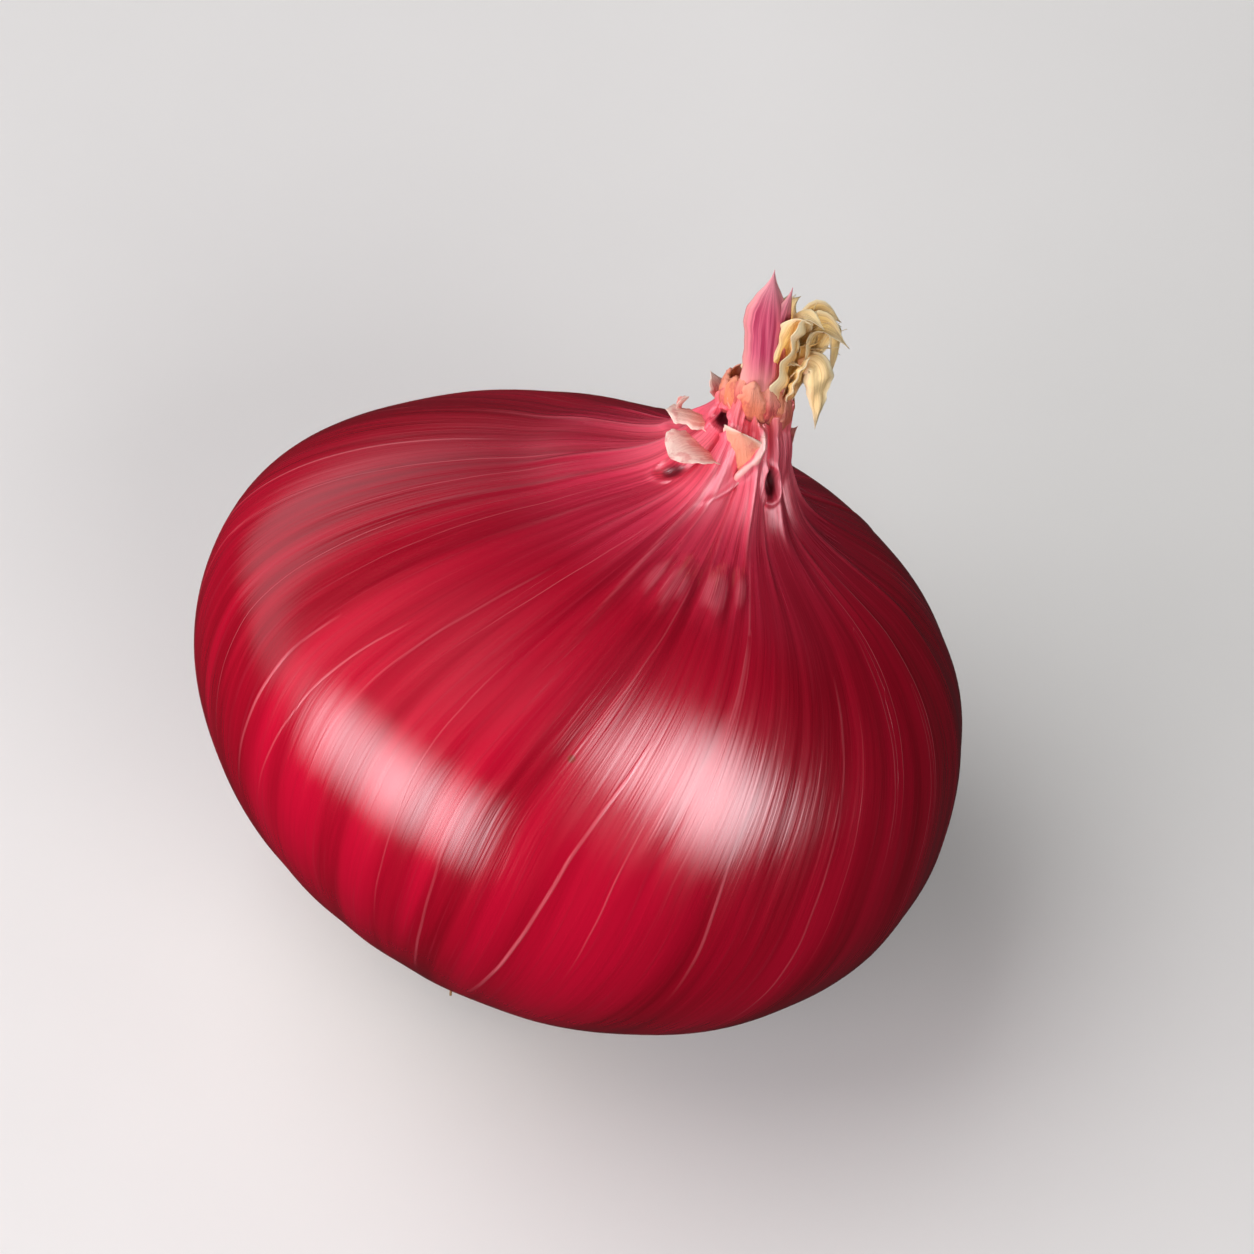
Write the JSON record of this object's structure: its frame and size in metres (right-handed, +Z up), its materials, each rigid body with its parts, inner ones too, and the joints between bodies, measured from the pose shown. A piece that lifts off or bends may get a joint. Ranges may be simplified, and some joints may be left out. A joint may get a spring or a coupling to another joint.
{
  "type": "onion",
  "caption": "Whole red onion with a pleated dry neck, torn papery skin, straw leaf ends and a plate of short roots, leaning on a small flat spot of its flank.",
  "frame": {"origin": "middle of the small flat spot on the flank, which is the onion's lowest face", "axes": "+Z up, out of the surface that the onion rests on; the neck leans towards +X and +Y; the pictured side faces -Y"},
  "size_m": [0.0688, 0.0683, 0.0718],
  "materials": {
    "onion_skin": "satin",
    "dry_straw": "matte",
    "dry_roots": "matte"
  },
  "bodies": {
    "root": {"bulb": "onion_skin", "neck_straw": "dry_straw", "root_tuft": "dry_roots"}
  },
  "joints": []
}
